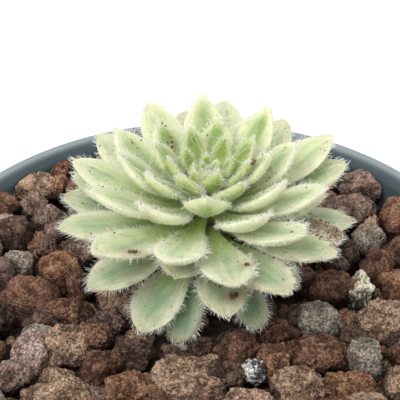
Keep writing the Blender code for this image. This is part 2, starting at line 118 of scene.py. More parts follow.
# The stones that stand out at the front: place, length, width and turn, in millimetres and degrees
LANDMARK_STONES = (
    (-34, 34, 8, 7, 0, "tan"), (-29, 34, 5, 5, 0, "orange"), (-28, 39, 5, 6, 0, "rust"),
    (-39, 28, 6, 6, 0, "rust"), (-33, 28, 6, 6, 0, "mauve"), (-29, 25, 8, 7, 10, "mauve"),
    (-36, 20, 7, 8, 0, "dark"), (-41, 15, 7, 8, 0, "orange"), (-28, 19, 4, 4, 0, "plum"),
    (-29, 15, 4, 5, 0, "dark"), (-34, 12, 6, 7, 0, "grey"), (-26, 11, 10, 8, 0, "orange"),
    (-31, 4, 12, 11, -10, "rust"), (-22, 6, 5, 7, 0, "rust"), (-23, -1, 8, 6, -10, "rust"),
    (-36, -4, 6, 7, 0, "dark"), (-29, -12, 7, 11, -20, "pink"), (-23, -9, 11, 9, 20, "tan"),
    (-16, -5, 6, 5, 0, "plum"), (-18, -8, 6, 5, 0, "rust"), (-12, -12, 8, 6, 0, "dark"),
    (-17, -15, 7, 8, 0, "rust"), (-12, -20, 10, 8, 0, "orange"), (-3, -17, 13, 11, 10, "tan"),
    (-23, -22, 12, 8, 0, "tan"), (-31, -18, 6, 6, 0, "mauve"), (0, -7, 8, 7, 0, "dark"),
    (7, -11, 7, 8, 0, "rust"), (14, -6, 7, 6, 0, "rust"), (12, -14, 6, 8, 0, "orange"),
    (20, -12, 12, 8, 5, "rust"), (21, -4, 9, 7, 0, "grey"), (24, 5, 10, 7, 0, "rust"),
    (29, 4, 5, 8, 0, "lime"), (33, -3, 11, 9, 10, "tan"), (28, -13, 6, 8, 0, "grey"),
    (16, -20, 9, 8, 0, "tan"), (24, -20, 8, 7, 0, "orange"), (4, -17, 8, 6, 0, "dark"),
    (7, -23, 9, 7, 0, "tan"), (9, -17, 4, 4, 0, "salt"), (35, -13, 7, 6, 0, "rust"),
    (33, -20, 7, 8, 0, "tan"), (26, -9, 5, 4, 0, "dark"), (33, 34, 9, 7, 0, "mauve"),
    (30, 28, 11, 8, -10, "mauve"), (39, 24, 8, 10, 0, "rust"), (32, 18, 7, 6, 0, "grey"),
    (33, 11, 6, 8, 0, "rust"), (38, 14, 7, 7, 0, "rust"), (36, 5, 7, 7, 0, "orange"),
    (28, 14, 4, 5, 0, "dark"), (25, 10, 5, 4, 0, "plum"),
)

# Stone relief: lumps, grains, pits and granules are waves a millimetre and a depth in millimetres
BROKEN_SIDES = 13
SIDE_DEPTHS = (0.66, 0.93)
BROKEN_GROWTH = 1.08
KNOB_FOCUS = 9
LUMPS = (0.42, 0.42)
GRAINS = (1.5, 0.3)
PITS = (1.15, 0.42)
GRANULES = (1.9, 0.28)
CELL = 0.4
FULL_RELIEF_WIDTH = 6
NOISE_SHIFT = 11
STONE_RELIEF = {"lime": 1.9, "salt": 1.9, "grey": 0.6, "pink": 0.8}
HOLLOW_TONES = ("lime", "salt")
FINE_STONE = 5
PLAIN_STONE = 4
FRONT_EDGE = 3
# How much lighter the stones are painted towards the rear
REAR_LIFT = 0.35
# Painted shade: how dark the low sides of each stone are painted
LOW_SIDE_SHADE = 0.22
GRIT_TRIES = 900
GRIT_RADII = (0.6, 1.5)
GRIT_ROOM = 0.8
GRIT_RELIEF = 0.7
LOOK_SEED = 23

# Stem
PLANT_X = 1.2
PLANT_Y = 9.7
STEM_TOP = POT_HEIGHT + 11.5
STEM_KNEE = POT_HEIGHT - 6
STEM_FOOT = POT_HEIGHT - 34
STEM_GIRTH = 5.7
UPPER_TAPER = 0.18
LOWER_TAPER = 0.11
STEM_SIDES = 40
STEM_LEVELS = 60

# Rosette
LEAVES = 68
HEART_LEAVES = 16
BUD_LEAVES = 9
FIRST_TURN = 183.0
DIVERGENCE = 137.4
CORE_PROFILE = ((2.3, 0), (2.6, 1.2), (2.0, 2.6), (0, 3.4))

# Leaf number, then a length in millimetres; heights are above the rim, and bud leaves count down from -1
TIP_REACH = (
    (-9, 0.6), (0, 3), (6, 7), (12, 10), (20, 16), (28, 22), (36, 26.5), (58, 26.5), (62, 21), (67, 20),
)
TIP_HEIGHT = (
    (-9, 16.8), (0, 18), (6, 20.5), (20, 20.8), (28, 17.5), (36, 13.5), (44, 10), (52, 6), (58, 3.5),
    (62, -3), (67, -4),
)
ROOT_HEIGHT = ((0, 13.4), (15, 12.8), (16, 11.4), (36, 7.4), (50, 3.6), (60, 0.6), (67, -1.8))
YOUNG_ROOT_REACH = ((-9, 0.1), (0, 0.6), (15, 2.2))
ROOT_SEAT = 0.42
LEAF_WIDTH = (
    (-9, 1.3), (0, 2.6), (5, 3.9), (10, 5.4), (17, 7.4), (25, 8.1), (36, 8.9), (56, 9.0), (62, 7.3),
    (67, 6.4),
)
LEAF_DEPTH = ((-9, 0.9), (0, 1.4), (10, 1.7), (20, 1.9), (36, 2.0), (67, 1.8))

# Leaf number, then how far the blade bends up, in degrees, at its root and its tip
RISE_BEND = ((0, 26), (16, 22), (28, 16), (40, 8), (50, 2), (58, -4), (62, -24), (67, -30))

# Leaf number, then the powers of the curve that its tip follows: an acute tip while young, rounder with age
TIP_CURVE = ((0, 1.45), (20, 1.6), (32, 2.2), (67, 2.5))
TIP_FULLNESS = ((0, 0.97), (20, 0.92), (32, 0.76), (67, 0.70))

# Blade: shares of its length, width and depth
ROOT_PULL = 0.36
TIP_PULL = 0.34
WIDEST_AT = 0.64
ROOT_SHARE = 0.27
UPPER_DEPTH = 0.38
LOWER_DEPTH = 0.62
DISH = 0.16
THIN_FROM = 0.85
END_DEPTH = 0.42
CLOSING = 0.05

# A blade's length for its width
SLENDERNESS = 2.6

# Leaves that grew off the spiral: turn in degrees, then reach and height in millimetres
STRAYS = {
    9: (-8, 0, 0), 12: (0, 0, -1), 14: (0, 1, 0), 15: (0, -1.5, 0), 18: (0, 1.5, 1.8), 21: (-6, 0.5, 1.3),
    22: (0, 1, 0), 23: (2, -2, 0), 25: (7, 0, 1), 26: (0, -1, -2), 28: (0, -1, 0), 29: (0, 0.5, 1),
    30: (0, 1.5, -1), 31: (-5, 2, 0.2), 33: (2, -1, 1.5), 34: (-3, 0, 1), 35: (2, 0, -1.5),
    36: (-4, -6, -1), 37: (2, 0.5, -0.5), 38: (5, 0, 0), 39: (4, 0, 1), 40: (5, 0, -3), 41: (-3, 0, -1),
    42: (-5, 0, 1.6), 43: (13, -7, -2.1), 44: (0, 0, 2.5), 45: (9, -1.5, 1.5), 46: (4, 1, 0.5),
    48: (9.5, -1, -5.2), 49: (0, -2, -1), 51: (-6, -15.2, -1.95), 53: (-5, 0, 2), 54: (1, -9.5, -3),
    56: (11, -4.5, -8.3), 59: (-2.5, 0, 3.1), 61: (0, -4, 0), 62: (0, -3, 1), 64: (7, -2, -4),
    67: (-3, 0, 0),
}

# Leaf skin
LEAF_RINGS = 40
LEAF_SIDES = 36
YOUNG_RINGS = 28
YOUNG_SIDES = 24
CHANNEL_DEPTH = 0.22
KEEL_DEPTH = 0.22
FOLD_WIDTH = 0.22
RIPPLE = 0.05
SWAY = 0.25
LEAF_PALE = (0.670, 0.720, 0.430)
LEAF_YOUNG = (0.275, 0.370, 0.070)
LEAF_OUTER = (0.470, 0.530, 0.340)
# The older leaves' tips: partly their own beige, partly painted shade
TIP_BEIGE_AND_SHADE = (0.440, 0.460, 0.260)
# Painted shade on the low leaves under the rosette
LOW_LEAF_SHADE = (0.130, 0.215, 0.130)
LEAF_BASE = (0.370, 0.480, 0.095)
LEAF_MARGIN = (0.810, 0.810, 0.620)
YOUNG_MARGIN = (0.560, 0.610, 0.275)
LEAF_STRIPE = (0.185, 0.375, 0.200)
LEAF_WINDOW = (0.215, 0.350, 0.045)
LEAF_DRIED = (0.300, 0.165, 0.110)

# Where tints fade in or out: shares of the leaf's length or half width, or ages as leaf numbers, of which the
# outer ages are shares of the last number
STRIPE_WIDTH = 0.36
STRIPE_FROM = (0.12, 0.35)
STRIPE_TO = (0.78, 0.97)
WINDOW_WIDTH = 0.42
WINDOW_FROM = (0.36, 0.62)
WINDOW_TO = (0.88, 0.985)
WINDOW_AGES = (12, 34)
ROOT_FADE = (0.15, 0.62)
SIDE_FADE = (0.36, 0.92)
SIDE_FROM = (0.2, 0.5)
TIP_FADE = (0.80, 0.98)
PALE_AGES = (4, 22)
OUTER_AGES = (0.42, 0.72)
CREAM_AGES = (2, 24)
# Where the older leaves' tips turn partly their own beige and partly painted shade
TIP_BEIGE_AND_SHADE_SPAN = (0.74, 0.98)
TIP_BEIGE_AND_SHADE_AGES = (20, 42)
RIM_FADE = (0.76, 1.0)
RIM_TIP = (0.90, 1.0)
FRINGE_AGES = (30, 52)
DRIED_LEAVES = (49,)
# Leaves low under the rosette, which get painted shade
LOW_LEAVES = (51, 54, 60, 61, 62, 64, 65, 66, 67)

# Brown spots: leaf, share of its length, angle round the blade in degrees, and radius in millimetres
SPOTS = (
    (35, 0.73, 45, 0.95),
    (38, 0.70, 45, 0.70),
    (59, 0.78, 65, 1.10),
    (15, 0.64, 60, 0.80),
    (16, 0.61, 90, 0.45),
    (16, 0.67, 98, 0.32),
    (16, 0.53, 84, 0.34),
    (46, 0.52, 20, 0.30),
    (33, 0.84, 80, 0.24),
    (27, 0.60, 160, 0.26),
    (22, 0.43, 150, 0.30),
)
STAIN_REACH = 1.9
SPOT_LUMPS = 9
SPOT_LUMP_SHARE = 0.33
FIRST_SOILED = 4
CRUMB_COUNTS = (6, 22)

# Flaky dry tissue: leaf, then its lowest and highest share of the length and angle in degrees, and how many
FLAKES = ((49, 0.35, 0.98, 8, 120, 330), (41, 0.34, 0.97, 5, 42, 110), (46, 0.66, 0.96, 5, 30, 24))
FLAKE_SIZE = (0.10, 0.34)
FLAKE_FORM = (1.2, 0.8, 0.35)
FLAKE_LIFT = 0.06
THREADS = 90
THREAD_RADIUS = 0.016
THREAD_STEPS = 5
THREAD_SAG = (-0.12, 0.04)

# Hairs, in millimetres; where on the leaf they start and how far they run are shares of its length. Seats are
# shares of a hair's length, and the knee has its place on the hair and its share of the width and the curl
CILIA_STEP = 0.27
CILIA_LENGTH = (0.7, 1.5)
CILIA_RADIUS = 0.036
CILIA_SEAT = -0.06
CILIA_KNEE = (0.55, 0.75, 0.35)
CILIA_FROM = 0.2
CILIA_RUN = 0.76
DOWN_COUNT = 460
DOWN_LENGTH = (0.22, 0.45)
DOWN_RADIUS = 0.026
DOWN_SEAT = -0.05
DOWN_FROM = 0.18
DOWN_RUN = 0.81
UPPER_DOWN = 0.7
HAIR_SIDE = (0.31, 0.17, 0.93)

# Pieces of hair: name, first leaf, the leaf after the last, and slot
HAIR_PIECES = (
    ("hairs_heart", -BUD_LEAVES, HEART_LEAVES, "young_leaf"),
    ("hairs_upper", HEART_LEAVES, 34, "leaf"),
    ("hairs_middle", 34, 51, "leaf"),
    ("hairs_lower", 51, LEAVES, "leaf"),
)

# Dull looks: roughness, then waves a metre and detail of the noise, then each tone's place and colour
DULL_LOOKS = {
    "soil crumbs": (0.95, (900, 2), (0.35, (0.05, 0.028, 0.018)), (0.65, (0.20, 0.115, 0.07))),
    "dry leaf flakes": (0.85, (1900, 3), (0.38, (0.10, 0.050, 0.034)), (0.60, (0.66, 0.52, 0.38))),
    "gravel dust": (0.95, (900, 5), (0.35, (0.018, 0.011, 0.009)), (0.7, (0.085, 0.048, 0.035))),
    "peat": (0.95, (700, 6), (0.32, (0.010, 0.007, 0.005)), (0.72, (0.11, 0.065, 0.04))),
    "stem bark": (0.85, (600, 5), (0.3, (0.12, 0.085, 0.045)), (0.7, (0.30, 0.29, 0.13))),
}
# Their relief: waves a metre, detail, height in metres and strength
RELIEFS = {
    "gravel dust": (1800, 4, 0.0008, 0.9),
    "peat": (900, 6, 0.0015, 1.0),
    "stem bark": (1500, 4, 0.0005, 0.8),
}

# Stage, in metres and degrees, with the lens in millimetres; lights have a name, place, width and watts
STAGE_WIDTH = 4
STAGE_DROP = 0.0003
LENS = 99
SENSOR = 36
EYE = (-0.00009, -0.14703, 0.21259)
PITCH = 53.87
AIM = (0, 0, 0.09)
SKY_STRENGTH = 0.78
LIGHTS = (("key", (-0.24, -0.26, 0.58), 0.4, 2.3), ("fill", (0.35, 0.30, 0.55), 0.5, 0.6))


def chart(number, knots):
    """The value of a straight-line chart at this leaf number."""
    return float(np.interp(number, [n for n, _ in knots], [v for _, v in knots]))


def smoothstep(low, high, value):
    """A share that rises smoothly from 0 at the low value to 1 at the high one."""
    share = np.clip((value - low) / (high - low), 0, 1)
    return share * share * (3 - 2 * share)


def between(rise, fall, value):
    """A share that rises over the first span and falls over the second."""
    return smoothstep(*rise, value) * (1 - smoothstep(*fall, value))


def mixed(first, second, share):
    """Colours between two colours, for an array of shares."""
    share = np.asarray(share)[..., None]
    return np.asarray(first) * (1 - share) + np.asarray(second) * share


def mesh_from(name, points, *face_groups):
    """A smooth mesh from points in millimetres and arrays of faces."""
    mesh = bpy.data.meshes.new(name)
    faces = [face for group in face_groups for face in group.tolist()]
    mesh.from_pydata((np.asarray(points) * MM).tolist(), [], faces, shade_flat=False)
    return mesh


def paint(mesh, name, colours):
    """Gives each point of the mesh a colour."""
    layer = mesh.attributes.new(name, "FLOAT_COLOR", "POINT")
    layer.data.foreach_set("color", np.c_[colours, np.ones(len(colours))].ravel())


def linked(name, data):
    """A new object in the scene."""
    made = bpy.data.objects.new(name, data)
    bpy.context.scene.collection.objects.link(made)
    return made


def add_piece(name, solid, material, slot, *nodes, **colours):
    """Adds a solid to the scene as a piece that rides on the body and stands for these nodes."""
    mesh = mesh_from(name, *solid)
    for layer, values in colours.items():
        paint(mesh, layer, values)
    mesh.materials.append(material)
    piece = linked(name, mesh)
    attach(piece, "root")
    if nodes:
        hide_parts(*nodes)
    return piece


def stacked(solids):
    """Many solids as one; each is its points and its arrays of faces."""
    starts = np.cumsum([0] + [len(points) for points, *_ in solids])
    groups = zip(*[faces for _, *faces in solids])
    shifted = [np.concatenate([faces + start for faces, start in zip(group, starts)]) for group in groups]
    return [np.concatenate([points for points, *_ in solids]), *shifted]


def ring_faces(rings, sides):
    """Quads between rings of points, and triangles from the outer rings to the two end points after them."""
    ring = np.arange(sides)
    beside = (ring + 1) % sides
    levels = sides * np.arange(rings - 1)[:, None]
    low = (levels + ring).ravel()
    after = (levels + beside).ravel()
    quads = np.stack([low, after, after + sides, low + sides], -1)
    last = sides * (rings - 1)
    foot = np.full(sides, sides * rings)
    caps = [np.stack([beside, ring, foot], -1), np.stack([ring + last, beside + last, foot + 1], -1)]
    return quads, np.concatenate(caps)


def tube_faces(rings):
    """Triangles of a three-sided tube with a closed foot."""
    faces = [(0, 2, 1)]
    for low in range(3 * rings - 3):
        after = low + (1 if low % 3 < 2 else -2)
        faces += [(low, after, after + 3), (low, after + 3, low + 3)]
    return faces


def material_of(name):
    """A new material and its tree of nodes."""
    material = bpy.data.materials.new(name)
    material.use_nodes = True
    return material, material.node_tree


def feed(tree, socket, value):
    """Links the value if it is a socket, and sets it on this socket if not."""
    if isinstance(value, bpy.types.NodeSocket):
        tree.links.new(value, socket)
    else:
        socket.default_value = value


def coat(tree, **values):
    """Feeds the shader of a material; a socket's name has _ in place of each space."""
    for key, value in values.items():
        feed(tree, tree.nodes["Principled BSDF"].inputs[key.replace("_", " ")], value)


def node_of(tree, kind, **settings):
    """A node with these settings, and these values or links on its sockets."""
    node = tree.nodes.new(kind)
    for key, value in settings.items():
        if hasattr(node, key):
            setattr(node, key, value)
        else:
            feed(tree, node.inputs[key], value)
    return node


def place_of(tree):
    """The object's own place, made once for each material."""
    place = tree.nodes.get("place") or node_of(tree, "ShaderNodeTexCoord", name="place")
    return place.outputs["Object"]


def noise_of(tree, scale, detail, rough=0.6):
    """Noise with this many waves a metre."""
    place = place_of(tree)
    texture = node_of(tree, "ShaderNodeTexNoise", Vector=place, Scale=scale, Detail=detail, Roughness=rough)
    return texture.outputs["Fac"]


def grains_of(tree, scale):
    """Round grains, this many a metre: how far each point lies from its grain, and a colour for each."""
    cells = node_of(tree, "ShaderNodeTexVoronoi", Vector=place_of(tree), Scale=scale)
    return cells.outputs["Distance"], cells.outputs["Color"]


def ramp_of(tree, value, *stops):
    """A ramp over the value between two stops; each is its place and a colour or a grey."""
    ramp = node_of(tree, "ShaderNodeValToRGB", Fac=value)
    for stop, (place, colour) in zip(ramp.color_ramp.elements, stops):
        stop.position = place
        stop.color = (*colour, 1) if isinstance(colour, tuple) else (colour, colour, colour, 1)
    return ramp.outputs["Color"]


def mix_of(tree, kind, share, first, second):
    """A colour mix; the share, the first and the second are sockets or values."""
    mix = node_of(tree, "ShaderNodeMix", data_type="RGBA", blend_type=kind)
    for index, value in ((0, share), (6, first), (7, second)):
        feed(tree, mix.inputs[index], value)
    return mix.outputs[2]


def bump_of(tree, height, distance, strength=1.0):
    """Normals of a relief with this height socket, up to a distance in metres."""
    bump = node_of(tree, "ShaderNodeBump", Strength=strength, Distance=distance, Height=height)
    return bump.outputs["Normal"]


def paint_of(tree, name):
    """The colour that was painted on the mesh under this name."""
    return node_of(tree, "ShaderNodeAttribute", attribute_name=name).outputs["Color"]


def leaf_material():
    """Fleshy leaf skin: painted tint, faint mottling, fine grain, and light passing through."""
    material, tree = material_of("leaf skin")
    mottle = ramp_of(tree, noise_of(tree, 420, 5), (0.3, 0.86), (0.7, 1.08))
    coat(
        tree,
        Base_Color=mix_of(tree, "MULTIPLY", 1.0, paint_of(tree, "tint"), mottle),
        Roughness=0.5,
        Subsurface_Weight=0.5,
        Subsurface_Radius=(0.9, 1.0, 0.35),
        Subsurface_Scale=0.0024,
        Sheen_Weight=0.25,
        Sheen_Roughness=0.5,
        Specular_IOR_Level=0.35,
        Normal=bump_of(tree, noise_of(tree, 2600, 3), 0.00012, 0.5),
    )
    return material


def hair_material():
    """White hairs that let some light through, with a faint painted glow."""
    material, tree = material_of("leaf hair")
    coat(
        tree,
        Base_Color=(0.94, 0.92, 0.80, 1),
        Roughness=0.6,
        # A faint painted glow stands in for light passing through the thin hairs
        Emission_Color=(0.96, 0.94, 0.80, 1),
        Emission_Strength=0.12,
        Subsurface_Weight=0.3,
        Subsurface_Scale=0.0005,
    )
    return material


def dull_material(name):
    """A dull look of two tones, with its relief if it has one."""
    roughness, waves, dark, pale = DULL_LOOKS[name]
    material, tree = material_of(name)
    coat(tree, Base_Color=ramp_of(tree, noise_of(tree, *waves), dark, pale), Roughness=roughness)
    if name in RELIEFS:
        scale, detail, height, strength = RELIEFS[name]
        coat(tree, Normal=bump_of(tree, noise_of(tree, scale, detail), height, strength))
    return material


def stone_material():
    """Lava: painted body colours, pale dust in patches, and crumbly grains with painted shade in the gaps
    between them.
    """
    material, tree = material_of("lava")
    grain = noise_of(tree, 2300, 4, 0.75)
    speck = ramp_of(tree, grain, (0.37, 0.42), (0.62, 1.6))
    body = mix_of(tree, "MULTIPLY", 1.0, paint_of(tree, "tint"), speck)
    patch = ramp_of(tree, noise_of(tree, 330, 3), (0.42, 0.0), (0.68, 0.55))
    dusty = mix_of(tree, "MIX", patch, body, paint_of(tree, "dust"))
    distance, colour = grains_of(tree, 2600)
    # Painted shade between the grains: darker towards each grain's edge, lighter in its middle
    gap_shaded = mix_of(tree, "MULTIPLY", 1.0, dusty, ramp_of(tree, distance, (0.42, 1.25), (0.88, 0.5)))
    varied = mix_of(tree, "MULTIPLY", 1.0, gap_shaded, ramp_of(tree, colour, (0.25, 0.78), (0.75, 1.28)))
    domes = ramp_of(tree, distance, (0.1, 1.0), (0.95, 0.0))
    relief = bump_of(tree, mix_of(tree, "MIX", 0.6, domes, grain), 0.0011)
    coat(tree, Base_Color=varied, Roughness=0.93, Specular_IOR_Level=0.2, Normal=relief)
    return material


def pot_material():
    """Slate grey moulded plastic with a soft shine, faint dust, fine scuffs, a painted highlight on the lip
    and painted shade inside the wall.
    """
    material, tree = material_of("slate plastic")
    dust = ramp_of(tree, noise_of(tree, 60, 6), (0.45, 0.0), (0.8, 0.22))
    slate = mix_of(tree, "MIX", dust, (0.160, 0.200, 0.215, 1), (0.26, 0.27, 0.27, 1))
    coat(
        tree,
        # The painted highlight on the lip and the painted shade inside the wall
        Base_Color=mix_of(tree, "MULTIPLY", 1.0, slate, paint_of(tree, "painted_light")),
        Roughness=ramp_of(tree, noise_of(tree, 240, 5), (0.3, 0.34), (0.75, 0.58)),
        Normal=bump_of(tree, noise_of(tree, 1600, 3), 0.00006, 0.35),
    )
    return material


def stem_radius(height):
    """Radius of the stem at this height above the pot's underside."""
    lift = height - STEM_KNEE
    return STEM_GIRTH + (-UPPER_TAPER if lift > 0 else LOWER_TAPER) * lift


def leaf_values(number):
    """Turn in degrees, then the tip's reach and height in millimetres."""
    turn, reach, height = STRAYS.get(number, (0, 0, 0))
    turn += FIRST_TURN + DIVERGENCE * number
    return turn, chart(number, TIP_REACH) + reach, chart(number, TIP_HEIGHT) + height


def leaf_root(number):
    """Where the leaf starts: its reach and its height in millimetres."""
    height = chart(number, ROOT_HEIGHT)
    if number < HEART_LEAVES:
        return chart(number, YOUNG_ROOT_REACH), height
    return stem_radius(POT_HEIGHT + height) + ROOT_SEAT, height


def leaf_spine(number):
    """Four control points of the leaf's midline, as (reach, height)."""
    reach, height = leaf_values(number)[1:]
    root = leaf_root(number)
    run = hypot(reach - root[0], height - root[1])
    slope = atan2(height - root[1], reach - root[0])
    bend = radians(chart(number, RISE_BEND))
    pull = ROOT_PULL * run
    first = (root[0] + pull * cos(slope - bend), root[1] + pull * sin(slope - bend))
    pull = TIP_PULL * run
    last = (reach - pull * cos(slope + bend), height - pull * sin(slope + bend))
    return root, first, last, (reach, height)


def leaf_outline(number, t):
    """Width of the blade: slim root, widest past the middle, pointed tip."""
    x = t / WIDEST_AT
    near = ROOT_SHARE + (1 - ROOT_SHARE) * x * x * np.clip(3 - 2 * x, 0, None) ** 0.9
    x = np.clip((t - WIDEST_AT) / (1 - WIDEST_AT), 0, 1)
    tip = (1 - x ** chart(number, TIP_CURVE)) ** chart(number, TIP_FULLNESS)
    return np.where(t < WIDEST_AT, near, tip)


def leaf_swell(t):
    """Thickness of the blade."""
    near = END_DEPTH + (1 - END_DEPTH) * np.sin(pi * (0.10 + 0.72 * np.minimum(t, THIN_FROM))) ** 0.8
    return np.where(t < THIN_FROM, near, END_DEPTH + 2.4 * (1 - t))


def skin(number, t, angle, fine=True):
    """Points of a blade's skin in millimetres, for arrays of stations along it and angles round it."""
    t, angle = np.broadcast_arrays(np.asarray(t, float), np.asarray(angle, float))
    a, b, c, d = leaf_spine(number)
    s = 1 - t
    place = [s**3 * a[k] + 3 * s * s * t * b[k] + 3 * s * t * t * c[k] + t**3 * d[k] for k in (0, 1)]
    way = [s * s * (b[k] - a[k]) + 2 * s * t * (c[k] - b[k]) + t * t * (d[k] - c[k]) for k in (0, 1)]
    slope = np.arctan2(way[1], way[0])
    half = 0.5 * chart(number, LEAF_WIDTH) * leaf_outline(number, t)
    depth = chart(number, LEAF_DEPTH) * leaf_swell(t)
    across, above = np.cos(angle), np.sin(angle)
    share = np.where(above > 0, UPPER_DEPTH, LOWER_DEPTH)
    side = half * across
    if fine:
        depth = depth * np.sqrt(np.clip((1 - t) / CLOSING, 0, 1))
    lift = depth * above * share + DISH * half * across**2
    if fine:
        belly = np.sin(pi * np.clip(t, 0, 1)) ** 0.7
        fold = np.where(above > 0, -CHANNEL_DEPTH * (0.35 + number / LEAVES), -KEEL_DEPTH)
        lift = lift + fold * belly * np.exp(-((across / FOLD_WIDTH) ** 2)) * np.abs(above) ** 0.5
        lift = lift + RIPPLE * belly * np.sin(7 * across + 2.4 * number) * above
        side = side + SWAY * np.sin(2.6 * t + 1.7 * number) * t * sin(3.1 * number)
    turn = radians(leaf_values(number)[0])
    reach = place[0] - lift * np.sin(slope)
    x = PLANT_X + sin(turn) * reach + cos(turn) * side
    y = PLANT_Y - cos(turn) * reach + sin(turn) * side
    return np.stack([x, y, POT_HEIGHT + place[1] + lift * np.cos(slope)], -1)


def leaf_noise(number, across, along):
    """Smooth noise over a blade, for arrays of places on it."""
    places = [Vector((a, s, 3.7 * number)) for a, s in zip(across.flat, along.flat)]
    values = [noise.fractal(place, 0.7, 2.1, 4) for place in places]
    return np.array(values).reshape(across.shape)


def spot_stain(number, t, across):
    """How strongly the brown spots stain the skin round them."""
    stain = np.zeros(t.shape)
    width = chart(number, LEAF_WIDTH)
    for leaf, station, angle, radius in SPOTS:
        if leaf == number:
            aside = 0.5 * width * (across - cos(radians(angle)))
            away = np.hypot(SLENDERNESS * width * (t - station), aside)
            stain = np.maximum(stain, np.exp(-((away / (STAIN_REACH * radius)) ** 2)))
    return stain


def leaf_tint(number, t, across, above):
    """Colour of the skin: sap green base, pale blade, cream sides and tip, and green down the middle; painted
    shade on the low leaves, and the older leaves' tips partly their own beige, partly painted shade.
    """
    age = max(0, number / LEAVES)
    low_leaf = number in LOW_LEAVES
    streaks = leaf_noise(number, 5 * across, 1.6 * t)
    blotches = leaf_noise(number + 0.5, 2.4 * across, 9 * t)
    stripe = np.exp(-((across / STRIPE_WIDTH) ** 2)) * between(STRIPE_FROM, STRIPE_TO, t)
    stripe = np.clip(stripe * (0.7 + 1.2 * streaks), 0, 1)
    window = np.exp(-((across / WINDOW_WIDTH) ** 4)) * between(WINDOW_FROM, WINDOW_TO, t)
    young = 1 - smoothstep(*WINDOW_AGES, number)
    root = 1 - smoothstep(*ROOT_FADE, t + 0.12 * streaks)
    side = smoothstep(*SIDE_FADE, np.abs(across) + 0.10 * streaks)
    edge = np.maximum(side * smoothstep(*SIDE_FROM, t), smoothstep(*TIP_FADE, t))
    cream = mixed(YOUNG_MARGIN, LEAF_MARGIN, smoothstep(*CREAM_AGES, number))
    # The older leaves' tips: partly their own beige, partly painted shade
    tip_beige_and_shade = smoothstep(*TIP_BEIGE_AND_SHADE_SPAN, t + 0.1 * streaks) * smoothstep(*TIP_BEIGE_AND_SHADE_AGES, number)
    rim = np.maximum(smoothstep(*RIM_FADE, np.abs(across)), smoothstep(*RIM_TIP, t))
    fringe = rim * smoothstep(-0.15, 0.3, blotches) * smoothstep(*FRINGE_AGES, number)
    withered = 0.9 * smoothstep(-0.3, 0.15, blotches + 0.5 * (t - 0.6)) * (number in DRIED_LEAVES)
    body = mixed(LEAF_YOUNG, LEAF_PALE, smoothstep(*PALE_AGES, number))
    body = mixed(body, LEAF_OUTER, smoothstep(*OUTER_AGES, age))
    # Low leaves get painted shade: a darker body, less base green and less cream
    colour = np.broadcast_to(mixed(body, LOW_LEAF_SHADE, 0.75 * low_leaf), (*t.shape, 3))
    for tone, share in (
        (LEAF_STRIPE, (0.2 + 0.75 * age**1.5) * stripe),
        (LEAF_WINDOW, 0.8 * young * window),
        (LEAF_BASE, (0.3 if low_leaf else 0.9) * root),
        (cream, (0.35 if low_leaf else 0.75) * edge),
        # Tips of the older leaves: their own beige mixed with painted shade
        (TIP_BEIGE_AND_SHADE, 0.55 * tip_beige_and_shade),
        (LEAF_DRIED, 0.7 * fringe * smoothstep(0.55, 0.75, t)),
        (LEAF_DRIED, withered),
        (LEAF_DRIED, 0.5 * smoothstep(0.75, 0.9, blotches) * smoothstep(0.3, 0.5, t)),
        (LEAF_DRIED, 0.75 * spot_stain(number, t, across) * (above > 0)),
    ):
        colour = mixed(colour, tone, share)
    fine = 1 + 0.05 * np.sin(23 * across + 3 * np.sin(5 * t + number)) * (above > 0)
    return colour * fine[..., None]


def leaf_solid(number, rings, sides):
    """Points, quads, end triangles and tints of one closed blade."""
    t = 1 - (1 - np.linspace(0, 1, rings + 1)[:-1]) ** 1.5
    angle = 2 * pi * np.arange(sides) / sides
    grid_t, grid_angle = np.meshgrid(t, angle, indexing="ij")
    points = skin(number, grid_t, grid_angle).reshape(-1, 3)
    tint = leaf_tint(number, grid_t, np.cos(grid_angle), np.sin(grid_angle)).reshape(-1, 3)
    ends = skin(number, np.array([0.0, 1.0]), np.array([pi / 2, 0.0]))
    ends[0] = points[:sides].mean(axis=0)
    tint = np.concatenate([tint, tint[:1], tint[-1:]])
    quads, caps = ring_faces(rings, sides)
    return np.concatenate([points, ends]), quads[:, [0, 3, 2, 1]], caps[:, [1, 0, 2]], tint


def skin_frame(number, t, angle):
    """Roots, outward normals and forward directions on the blade's skin."""
    step, twist = 0.004, 0.02
    here = skin(number, t, angle)
    forward = skin(number, np.minimum(t + step, 1), angle) - skin(number, t - step, angle)
    normal = np.cross(forward, skin(number, t, angle + twist) - skin(number, t, angle - twist))
    inward = 0.5 * (skin(number, t, 0 * angle) + skin(number, t, 0 * angle + pi))
    middle = skin(number, t, 0 * angle - pi / 2)
    normal *= np.sign(np.sum(normal * (here - 0.5 * (inward + middle)), -1))[:, None]
    normal /= np.linalg.norm(normal, axis=1)[:, None] + 1e-9
    forward /= np.linalg.norm(forward, axis=1)[:, None] + 1e-9
    return here, normal, forward


def bristles(roots, ways, lengths, radii, curls, *rings):
    """Thin three-sided hairs through rings of heights, a share of the width and a share of the curl."""
    ways = ways / np.linalg.norm(ways, axis=1)[:, None]
    aside = np.cross(ways, HAIR_SIDE)
    aside /= np.linalg.norm(aside, axis=1)[:, None] + 1e-9
    other = np.cross(ways, aside)
    points = []
    for heights, width, bend in rings:
        middle = roots + ways * heights[:, None] + curls * (bend * lengths)[:, None]
        for corner in range(3):
            turn = 2 * pi * corner / 3
            offset = aside * cos(turn) + other * sin(turn)
            points.append(middle + offset * (width * radii)[:, None])
    points.append(roots + ways * lengths[:, None] + curls * lengths[:, None])
    tip = 3 * len(rings)
    faces = tube_faces(len(rings))
    faces += [(tip - 3, tip - 2, tip), (tip - 2, tip - 1, tip), (tip - 1, tip - 3, tip)]
    starts = (tip + 1) * np.arange(len(roots))[:, None, None]
    return np.stack(points, 1).reshape(-1, 3), (starts + np.array(faces)).reshape(-1, 3)


